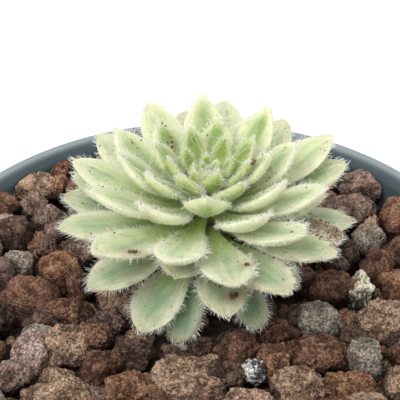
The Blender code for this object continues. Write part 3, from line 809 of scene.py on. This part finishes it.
def leaf_cilia(number, draw):
    """Longer hairs, each bent once on its way, in a row along both margins and round the tip."""
    run = chart(number, LEAF_WIDTH) * SLENDERNESS
    young = 1 - min(1, number / 26)
    grown = min(1, number / 30)
    count = int(2 * run / CILIA_STEP * (1 + 0.9 * young))
    t = np.clip(1 - draw.random(count) ** 1.4 * CILIA_RUN, CILIA_FROM, 0.992)
    side = draw.integers(0, 2, count) * pi
    angle = side + draw.normal(0, 0.16 + 0.22 * young, count)
    roots, normal, forward = skin_frame(number, t, angle)
    scatter = draw.normal(0, 0.09, (count, 3))
    ways = normal + forward * (0.2 + 0.9 * smoothstep(0.85, 1.0, t))[:, None] + scatter
    lengths = draw.uniform(*CILIA_LENGTH, count) * (0.6 + 0.4 * smoothstep(0.2, 0.6, t))
    lengths *= 0.6 + 0.4 * grown
    curls = draw.normal(0, 0.03, (count, 3)) + forward * 0.06
    radii = np.full(count, CILIA_RADIUS * (0.65 + 0.35 * grown))
    knee, width, bend = CILIA_KNEE
    rings = (CILIA_SEAT * lengths, 1.0, 0.0), (knee * lengths, width, bend)
    return bristles(roots, ways, lengths, radii, curls, *rings)


def leaf_down(number, draw):
    """Short straight hairs all over the blade."""
    count = int(DOWN_COUNT * (0.8 + 0.2 * min(1, number / 24)))
    t = DOWN_FROM + DOWN_RUN * draw.random(count) ** 0.8
    angle = draw.uniform(0, 2 * pi, count)
    upper = draw.random(count) < UPPER_DOWN
    angle = np.where(upper, angle % pi, pi + angle % pi)
    roots, normal, forward = skin_frame(number, t, angle)
    ways = normal + 0.4 * forward + draw.normal(0, 0.25, (count, 3))
    lengths = draw.uniform(*DOWN_LENGTH, count)
    radii = np.full(count, DOWN_RADIUS)
    return bristles(roots, ways, lengths, radii, np.zeros_like(ways), (np.full(count, DOWN_SEAT), 1.0, 0.0))


def make_leaves(material):
    """A piece for each grown leaf."""
    for number in range(HEART_LEAVES, LEAVES):
        *solid, tint = leaf_solid(number, LEAF_RINGS, LEAF_SIDES)
        add_piece(f"blade_{number:02d}", solid, material, "leaf", f"leaf_{number:02d}", tint=tint)


def make_heart(material):
    """The youngest leaves round a small core."""
    solids = [leaf_solid(number, YOUNG_RINGS, YOUNG_SIDES) for number in range(-BUD_LEAVES, HEART_LEAVES)]
    base = STEM_TOP + GAP
    profile = [(0, base)] + [(radius, base + rise) for radius, rise in CORE_PROFILE]
    core, quads, caps = turned(profile, YOUNG_SIDES)
    core[:, :2] += (PLANT_X, PLANT_Y)
    solids.append((core, quads, caps, np.broadcast_to(LEAF_YOUNG, core.shape)))
    tint = np.concatenate([solid[-1] for solid in solids])
    heart = stacked([solid[:-1] for solid in solids])
    add_piece("heart_leaves", heart, material, "young_leaf", "heart", tint=tint)


def make_hairs(material):
    """Hairs of the leaves, in a few pieces."""
    draw = np.random.default_rng(LOOK_SEED)
    for name, first, last, slot in HAIR_PIECES:
        solids = []
        for number in range(first, last):
            solids += [leaf_cilia(number, draw), leaf_down(number, draw)]
        add_piece(name, stacked(solids), material, slot)


def turned(profile, sides):
    """A solid turned round Z from a profile that starts and ends on the axis: points, quads, triangles."""
    rings = np.array(profile[1:-1], float)
    angle = 2 * pi * np.arange(sides) / sides
    reach = rings[:, :1]
    heights = np.broadcast_to(rings[:, 1:], (len(rings), sides))
    points = np.stack([reach * np.cos(angle), reach * np.sin(angle), heights], -1).reshape(-1, 3)
    ends = [(0, 0, profile[0][1]), (0, 0, profile[-1][1])]
    return np.concatenate([points, ends]), *ring_faces(len(rings), sides)


def softened(profile, cut):
    """The profile with each corner cut off a little way from it on both sides."""
    points = [Vector(point) for point in profile]
    soft = [points[0]]
    for before, here, after in zip(points, points[1:], points[2:]):
        for other in (before, after):
            away = other - here
            soft.append(here + away * min(0.4, cut / away.length))
    return [*soft, points[-1]]


def wall_radius(height):
    """Radius of the tapered wall below the band."""
    return BASE_RADIUS + (SHOULDER_RADIUS - BASE_RADIUS) * height / (POT_HEIGHT - BAND_HEIGHT)


def inner_radius(height):
    """Radius of the inside of the wall."""
    if height > POT_HEIGHT - BAND_HEIGHT:
        return BAND_RADIUS - WALL
    return wall_radius(height) - WALL


def make_pot(material):
    """The tapered pot with its stepped band, rolled lip and drain holes."""
    top = POT_HEIGHT
    shoulder = POT_HEIGHT - BAND_HEIGHT
    lip_foot = POT_HEIGHT - LIP_HEIGHT
    profile = [
        (0, 0),
        (BASE_RADIUS - BASE_ROUND, 0),
        (BASE_RADIUS, BASE_ROUND),
        (SHOULDER_RADIUS, shoulder),
        (BAND_RADIUS, shoulder + BAND_STEP),
        (BAND_RADIUS, lip_foot - BAND_STEP),
        (RIM_RADIUS - LIP_ROUND, lip_foot),
        (RIM_RADIUS, lip_foot + LIP_ROUND),
        (RIM_RADIUS, top - LIP_ROUND),
        (RIM_RADIUS - LIP_ROUND, top),
        (RIM_RADIUS - LIP_WIDTH + LIP_ROUND, top),
        (RIM_RADIUS - LIP_WIDTH, top - LIP_ROUND),
        (BAND_RADIUS - WALL, lip_foot),
        (BAND_RADIUS - WALL, shoulder + BAND_STEP),
        (SHOULDER_RADIUS - WALL, shoulder - BAND_STEP),
        (wall_radius(FLOOR) - WALL, FLOOR),
        (0, FLOOR),
    ]
    for cut in SOFT_EDGES:
        profile = softened(profile, cut)
    pot = add_piece("pot_body", turned(profile, POT_SIDES), material, "pot", "pot")
    plug = [(0, -FLOOR), (DRAIN_RADIUS, -FLOOR), (DRAIN_RADIUS, 2 * FLOOR), (0, 2 * FLOOR)]
    drills = []
    for hole in range(DRAIN_HOLES):
        angle = 2 * pi * hole / DRAIN_HOLES
        points, *faces = turned(plug, DRAIN_SIDES)
        points[:, :2] += (DRAIN_RING * cos(angle), DRAIN_RING * sin(angle))
        drill = linked("drill", mesh_from("drill", points, *faces))
        drills.append(drill)
        drilling = pot.modifiers.new("hole", "BOOLEAN")
        drilling.operation = "DIFFERENCE"
        drilling.solver = "EXACT"
        drilling.object = drill
    bpy.context.view_layer.update()
    graph = bpy.context.evaluated_depsgraph_get()
    mesh = bpy.data.meshes.new_from_object(pot.evaluated_get(graph))
    pot.modifiers.clear()
    pot.data = mesh
    for drill in drills:
        bpy.data.objects.remove(drill)
    mesh.materials.clear()
    mesh.materials.append(material)
    paint_lip_highlight_and_wall_shade(mesh)
    mesh.shade_smooth()
    mesh.set_sharp_from_angle(angle=radians(40))


def paint_lip_highlight_and_wall_shade(mesh):
    """A painted highlight on the lip, and painted shade on the inside of the wall."""
    points = np.array([vert.co for vert in mesh.vertices]) / MM
    away = np.hypot(points[:, 0], points[:, 1])
    height = points[:, 2]
    wall = np.array([inner_radius(z) for z in height])
    inside = (away < wall + 0.5 * WALL) & (height > FLOOR - GAP)
    lip = height > POT_HEIGHT - 0.5 * LIP_ROUND
    painted_light = np.ones((len(points), 3))
    # Painted shade inside the wall, then a painted highlight on the lip
    painted_light[inside] = INSIDE_SHADE
    painted_light[lip] = LIP_HIGHLIGHT
    paint(mesh, "painted_light", painted_light)


def make_stem(material):
    """The tapered stem, a little uneven all round."""
    levels = np.linspace(STEM_FOOT, STEM_TOP, STEM_LEVELS)
    profile = [(0, STEM_FOOT)] + [(stem_radius(z), z) for z in levels] + [(0, STEM_TOP)]
    points, quads, caps = turned(profile, STEM_SIDES)
    for point in points[:-2]:
        rough = noise.fractal(Vector(point) * 0.6, 0.8, 2.0, 4)
        point[:2] *= 1 + 0.05 * rough - 0.02
    points[:, :2] += (PLANT_X, PLANT_Y)
    add_piece("stem_body", (points, quads, caps), material, "stem", "stem")


def low_leaf_points():
    """Points on the undersides of the outer leaves."""
    stations = np.repeat(OVERHANG_STATIONS, len(OVERHANG_ANGLES))
    angles = np.radians(np.tile(OVERHANG_ANGLES, len(OVERHANG_STATIONS)))
    return np.concatenate([skin(number, stations, angles, False) for number in range(LEAVES // 2, LEAVES)])


def stone_top(stone, crest, leaves):
    """How high the stone's crown may stand: its crest, or lower where a leaf lies over it."""
    x, y, length, width = stone[:4]
    half = 0.5 * length * STONE_KNOBS[1]
    away = np.hypot(leaves[:, 0] - x, leaves[:, 1] - y)
    fall = 0.5 * width * (1 - np.sqrt(np.clip(1 - (away / half) ** 2, 0, None)))
    tops = (leaves[:, 2] - LEAF_ROOM + fall)[away < half + LEAF_ROOM]
    return min([crest, *tops])


def stands_clear(x, y, radius, stones, spacing):
    """Whether a stone of this radius has this share of its room among the others."""
    return all(
        hypot(x - other[0], y - other[1]) > spacing * (radius + (other[2] + other[3]) / 4)
        for other in stones
    )


def scattered(draw, radii, edge, seat):
    """A random radius, how far out it can lie at most, and a random distance and angle within that."""
    radius = draw.uniform(*radii)
    furthest = edge - seat * radius
    return radius, furthest, furthest * sqrt(draw.random()), draw.uniform(0, 2 * pi)


def seeded_stone(x, y, radius, count, draw):
    """A stone of the common tones here, with its own shape and turn."""
    long = 2 * radius * draw.uniform(*STONE_LENGTH_SHARE)
    wide = 2 * radius * draw.uniform(*STONE_WIDTH_SHARE)
    turn = draw.uniform(0, pi)
    return x, y, long, wide, turn, COMMON_TONES[count % len(COMMON_TONES)]


def stone_places(edge, draw):
    """The upper layer, with the landmark stones and a ring at the wall, then the lower layer in its gaps."""
    upper = [(x, y, long, wide, radians(turn), tone) for x, y, long, wide, turn, tone in LANDMARK_STONES]
    for count in range(WALL_STONES + STONE_TRIES):
        radius, furthest, away, around = scattered(draw, STONE_RADII, edge, WALL_SEAT)
        if count < WALL_STONES:
            away = furthest
            around = 2 * pi * (count + draw.uniform(0, WALL_PLAY)) / WALL_STONES
        x, y = away * cos(around), away * sin(around)
        if stands_clear(x, y, radius, upper, STONE_SPACING):
            upper.append(seeded_stone(x, y, radius, len(upper), draw))
    lower = []
    for _ in range(STONE_TRIES):
        radius, _, away, around = scattered(draw, LOWER_RADII, edge, WALL_SEAT)
        x, y = away * cos(around), away * sin(around)
        in_gap = stands_clear(x, y, radius, upper, LOWER_SHIFT)
        if in_gap and stands_clear(x, y, radius, lower, LOWER_SPACING):
            lower.append(seeded_stone(x, y, radius, len(lower), draw))
    return upper, lower


def ball(subdivisions):
    """Unit points and triangles of a ball of triangles."""
    shape = bmesh.new()
    bmesh.ops.create_icosphere(shape, subdivisions=subdivisions, radius=1)
    points = np.array([vert.co for vert in shape.verts])
    faces = np.array([[vert.index for vert in face.verts] for face in shape.faces])
    shape.free()
    return points, faces


def broken_sides(shell, look):
    """How far a broken stone reaches along each direction of the ball: a round lump cut by flat sides."""
    reach = np.ones(len(shell))
    for _ in range(BROKEN_SIDES):
        height = look.uniform(-1, 1)
        around = look.uniform(0, 2 * pi)
        flat = sqrt(1 - height * height)
        side = (flat * cos(around), flat * sin(around), height)
        facing = np.maximum(shell @ side, 0.01)
        reach = np.minimum(reach, look.uniform(*SIDE_DEPTHS) / facing)
    return reach


def rough_stone(stone, edge, draw, look, shell, corners, relief):
    """The stone's lumps on a finer ball, with broken sides, pits and grains: points and their heights."""
    x, y, length, width, turn, tone = stone
    spin = draw.uniform(0, pi)
    knobs = np.array([draw.uniform(*STONE_KNOBS) for _ in corners])
    closeness = np.exp(KNOB_FOCUS * (shell @ corners.T))
    knob = (closeness @ knobs) / closeness.sum(axis=1)
    reach = 0.5 * knob * broken_sides(shell, look) * BROKEN_GROWTH
    around = np.arctan2(shell[:, 1], shell[:, 0]) + spin
    flat = np.hypot(shell[:, 0], shell[:, 1]) * reach
    ahead = flat * np.cos(around) * length
    aside = flat * np.sin(around) * width
    points = np.stack(
        [
            x + cos(turn) * ahead - sin(turn) * aside,
            y + sin(turn) * ahead + cos(turn) * aside,
            shell[:, 2] * reach * width,
        ],
        -1,
    )
    depth = np.zeros(len(points))
    scale = min(1.0, width / FULL_RELIEF_WIDTH)
    for index, point in enumerate(points):
        place = Vector(point) + Vector((0, 0, NOISE_SHIFT * x))
        lump = noise.fractal(place * LUMPS[0], 0.9, 2.1, 3)
        grain = noise.fractal(place * GRAINS[0], 0.6, 2.2, 3)
        pit = max(0.0, 1 - noise.voronoi(place * PITS[0])[0][0] / CELL)
        granule = CELL - noise.voronoi(place * GRANULES[0])[0][0]
        raised = LUMPS[1] * lump + GRAINS[1] * grain + GRANULES[1] * granule
        depth[index] = relief * scale * (raised - PITS[1] * pit**0.7)
    middle = np.array([x, y, 0])
    outward = points - middle
    outward /= np.linalg.norm(outward, axis=1)[:, None]
    points = points + outward * depth[:, None]
    away = np.hypot(points[:, 0], points[:, 1])
    points[:, :2] *= np.where(away > edge, edge / np.maximum(away, 1e-6), 1)[:, None]
    return points, depth


def stone_colours(tone, points, depth, draw):
    """Body and dust colours of a stone, darker in its pits, with painted shade low on its sides."""
    body, dust, pit = (np.array(colour) for colour in TONES[tone])
    # Each stone's tone varies at random and is lighter towards the rear
    shade = draw.uniform(0.85, 1.15) * (1 + REAR_LIFT * smoothstep(0, 30, points[:, 1].mean()))
    sunk = smoothstep(-0.10, 0.06, -depth) if tone in HOLLOW_TONES else smoothstep(0.02, 0.22, -depth)
    raised = smoothstep(0.03, 0.25, depth)
    tint = mixed(body * shade, pit, 0.85 * sunk)
    tint = mixed(tint, dust, 0.45 * raised)
    powder = mixed(dust * shade, pit, (0.95 if tone in HOLLOW_TONES else 0.6) * sunk)
    height = points[:, 2]
    rise = (height - height.min()) / (height.max() - height.min())
    # Painted shade: each stone is darker low on its sides, in both its body and dust colours
    dry = (LOW_SIDE_SHADE + (1 - LOW_SIDE_SHADE) * smoothstep(0.38, 0.82, rise))[:, None]
    return tint * dry, powder * dry


def make_gravel(stone_look, bed_look):
    """The stones, finest at the front, with grit on the dark bed between them."""
    draw = random.Random(STONE_SEED)
    look = random.Random(LOOK_SEED)
    leaves = low_leaf_points()
    edge = inner_radius(GRAVEL_LEVEL) - SIDE_ROOM
    corners, _ = ball(1)
    fine, plain = ball(FINE_STONE), ball(PLAIN_STONE)
    batches = {"stones_front": [], "stones_round": [], "stones_low": [], "grit": []}
    upper, lower = stone_places(edge, draw)
    for index, place in enumerate(upper + lower):
        outward = hypot(place[0], place[1]) / edge
        crest = STONE_CREST + EDGE_RISE * outward**2 + draw.uniform(-CREST_PLAY, CREST_PLAY)
        if index >= len(upper):
            crest -= LOWER_DROP
        top = stone_top(place, POT_HEIGHT + crest, leaves)
        in_front = index < len(LANDMARK_STONES) and place[1] < FRONT_EDGE
        shell, faces = fine if in_front else plain
        relief = STONE_RELIEF.get(place[5], 1.0)
        points, depth = rough_stone(place, edge, draw, look, shell, corners, relief)
        if top < GRAVEL_LEVEL + LEAST_RELIEF:
            continue
        points[:, 2] += top - points[:, 2].max()
        colours = np.concatenate(stone_colours(place[5], points, depth, look), axis=1)
        name = "stones_low" if index >= len(upper) else "stones_round"
        batches["stones_front" if in_front else name].append((points, faces, colours))
    shell, faces = ball(2)
    for _ in range(GRIT_TRIES):
        radius, _, away, around = scattered(look, GRIT_RADII, edge, 1)
        x, y = away * cos(around), away * sin(around)
        tone = COMMON_TONES[look.randrange(len(COMMON_TONES))]
        if not stands_clear(x, y, 0, upper, GRIT_ROOM):
            continue
        grit = (x, y, 2.3 * radius, 1.9 * radius, look.uniform(0, pi), tone)
        points, depth = rough_stone(grit, edge, look, look, shell, corners, GRIT_RELIEF)
        points[:, 2] += GRAVEL_LEVEL + look.uniform(0.1, 0.9) * radius
        colours = np.concatenate(stone_colours(tone, points, depth, look), axis=1)
        batches["grit"].append((points, faces, colours))
    for name, parts in batches.items():
        colours = np.concatenate([part[2] for part in parts])
        solid = stacked([part[:2] for part in parts])
        add_piece(name, solid, stone_look, "gravel", "gravel", tint=colours[:, :3], dust=colours[:, 3:])
    make_bed(bed_look)


def make_bed(material):
    """The dark layer of dust and fine gravel under the stones."""
    shoulder = POT_HEIGHT - BAND_HEIGHT
    radius = inner_radius(GRAVEL_LEVEL) - 2 * GAP
    low = MIX_TOP + GAP
    profile = [
        (0, low),
        (inner_radius(low) - 2 * GAP, low),
        (inner_radius(shoulder) - 2 * GAP, shoulder),
        (radius, shoulder + 2 * BAND_STEP),
    ]
    profile += [(away, GRAVEL_LEVEL) for away in np.linspace(radius, 1, BED_RINGS)]
    profile += [(0, GRAVEL_LEVEL)]
    points, quads, caps = turned(profile, BED_SIDES)
    for point in points:
        if point[2] == GRAVEL_LEVEL:
            point[2] += BED_RELIEF * noise.fractal(Vector(point) * 0.5, 0.8, 2.0, 4)
    add_piece("gravel_bed", (points, quads, caps), material, "gravel", "gravel")


def crumb(root, size, shell, draw):
    """Points of a small rough lump."""
    return root + shell * size * draw.uniform(0.8, 1.2, (len(shell), 1))


def make_crumbs(material):
    """Tiny specks of soil that lie on the leaves, and a ring of lumps in each brown spot."""
    draw = np.random.default_rng(LOOK_SEED + 1)
    shell, faces = ball(1)
    lumps = []
    for number in range(FIRST_SOILED, LEAVES):
        count = int(draw.integers(*CRUMB_COUNTS))
        t = draw.uniform(0.3, 0.95, count)
        angle = draw.uniform(0.15 * pi, 0.85 * pi, count)
        for root in skin_frame(number, t, angle)[0]:
            size = (0.05 + 0.14 * draw.random() ** 2.5) * draw.uniform(0.7, 1.3, 3)
            lumps.append(crumb(root, size, shell, draw))
    for number, station, angle, radius in SPOTS:
        width = chart(number, LEAF_WIDTH)
        around = 2 * pi * (np.arange(SPOT_LUMPS) + draw.uniform(0, 0.8, SPOT_LUMPS)) / SPOT_LUMPS
        away = radius * draw.uniform(0.35, 0.85, SPOT_LUMPS)
        t = station + away * np.cos(around) / (SLENDERNESS * width)
        turn = radians(angle) + 2 * away * np.sin(around) / width
        for root in skin_frame(number, t, turn)[0]:
            lumps.append(crumb(root, SPOT_LUMP_SHARE * radius * draw.uniform(0.6, 1.3, 3), shell, draw))
    add_piece("crumbs", stacked([(points, faces) for points in lumps]), material, "potting_mix")


def make_flakes(material):
    """Dry brown tissue that peels from the withered leaf and its neighbours."""
    draw = np.random.default_rng(LOOK_SEED + 2)
    shell, faces = ball(1)
    solids = []
    for number, low, high, least, most, count in FLAKES:
        t = draw.uniform(low, high, count)
        angle = np.radians(draw.uniform(least, most, count))
        roots, normals, forwards = skin_frame(number, t, angle)
        for root, normal, forward in zip(roots, normals, forwards):
            long, wide, thick = draw.uniform(*FLAKE_SIZE, 3) * FLAKE_FORM
            lean = normal + draw.normal(0, 0.5, 3)
            lean /= np.linalg.norm(lean)
            aside = np.cross(lean, forward)
            axes = np.stack([forward * long, aside * wide, lean * thick])
            rough = draw.uniform(0.7, 1.3, (len(shell), 1))
            solids.append((root + FLAKE_LIFT * normal + (shell * rough) @ axes, faces))
    add_piece("flakes", stacked(solids), material, "leaf")


def make_threads(material):
    """Fine cobweb threads between the tips of neighbouring young leaves."""
    draw = np.random.default_rng(LOOK_SEED + 3)
    solids = []
    corner = 2 * pi * np.arange(3) / 3
    end = 3 * THREAD_STEPS
    faces = np.array(tube_faces(THREAD_STEPS + 1) + [(end, end + 1, end + 2)])
    for _ in range(THREADS):
        first = int(draw.integers(0, HEART_LEAVES))
        second = first + int(draw.choice((3, 5, 8)))
        ends = [skin(n, draw.uniform(0.9, 0.985), pi * draw.integers(0, 2)) for n in (first, second)]
        along = ends[1] - ends[0]
        share = np.linspace(0, 1, THREAD_STEPS + 1)[:, None]
        sag = draw.uniform(*THREAD_SAG) * np.linalg.norm(along) * 4 * share * (1 - share)
        path = ends[0] + share * along + sag * (0, 0, 1)
        aside = np.cross(along, (0, 0, 1))
        aside /= np.linalg.norm(aside)
        above = np.cross(aside, along)
        above /= np.linalg.norm(above)
        ring = THREAD_RADIUS * (np.cos(corner)[:, None] * aside + np.sin(corner)[:, None] * above)
        solids.append(((path[:, None] + ring).reshape(-1, 3), faces))
    add_piece("threads", stacked(solids), material, "young_leaf")


def make_stage():
    """A plain pale floor, soft light from above and the camera at the photograph's angle."""
    bpy.ops.mesh.primitive_plane_add(size=STAGE_WIDTH, location=(0, 0, -STAGE_DROP))
    floor = bpy.context.object
    floor.name = "floor"
    material, tree = material_of("floor")
    coat(
        tree,
        Base_Color=(0.9, 0.9, 0.9, 1),
        Roughness=0.9,
        Specular_IOR_Level=0.1,
        Emission_Color=(1, 1, 1, 1),
        Emission_Strength=0.3,
    )
    floor.data.materials.append(material)
    world = bpy.data.worlds.new("sky")
    world.use_nodes = True
    sky = world.node_tree.nodes["Background"]
    sky.inputs["Color"].default_value = (1, 1, 1, 1)
    sky.inputs["Strength"].default_value = SKY_STRENGTH
    bpy.context.scene.world = world
    for name, place, size, power in LIGHTS:
        light = bpy.data.lights.new(name, "AREA")
        light.shape = "DISK"
        light.size = size
        light.energy = power
        lamp = linked(name, light)
        lamp.location = place
        aim = Vector(AIM) - lamp.location
        lamp.rotation_euler = aim.to_track_quat("-Z", "Y").to_euler()
    camera = bpy.data.cameras.new("camera")
    camera.lens = LENS
    camera.sensor_width = SENSOR
    camera.clip_start = 0.001
    eye = linked("camera", camera)
    eye.location = EYE
    eye.rotation_euler = (radians(PITCH), 0, 0)
    bpy.context.scene.camera = eye
    bpy.context.scene.view_settings.view_transform = "Standard"


def dress_mix():
    """The potting mix keeps its shape and gets a peat look."""
    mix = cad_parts["potting_mix"]
    mix.data.materials.clear()
    mix.data.materials.append(dull_material("peat"))


leaf_look = leaf_material()
make_pot(pot_material())
dress_mix()
make_stem(dull_material("stem bark"))
make_gravel(stone_material(), dull_material("gravel dust"))
make_leaves(leaf_look)
make_heart(leaf_look)
hair_look = hair_material()
make_hairs(hair_look)
make_threads(hair_look)
make_crumbs(dull_material("soil crumbs"))
make_flakes(dull_material("dry leaf flakes"))
make_stage()
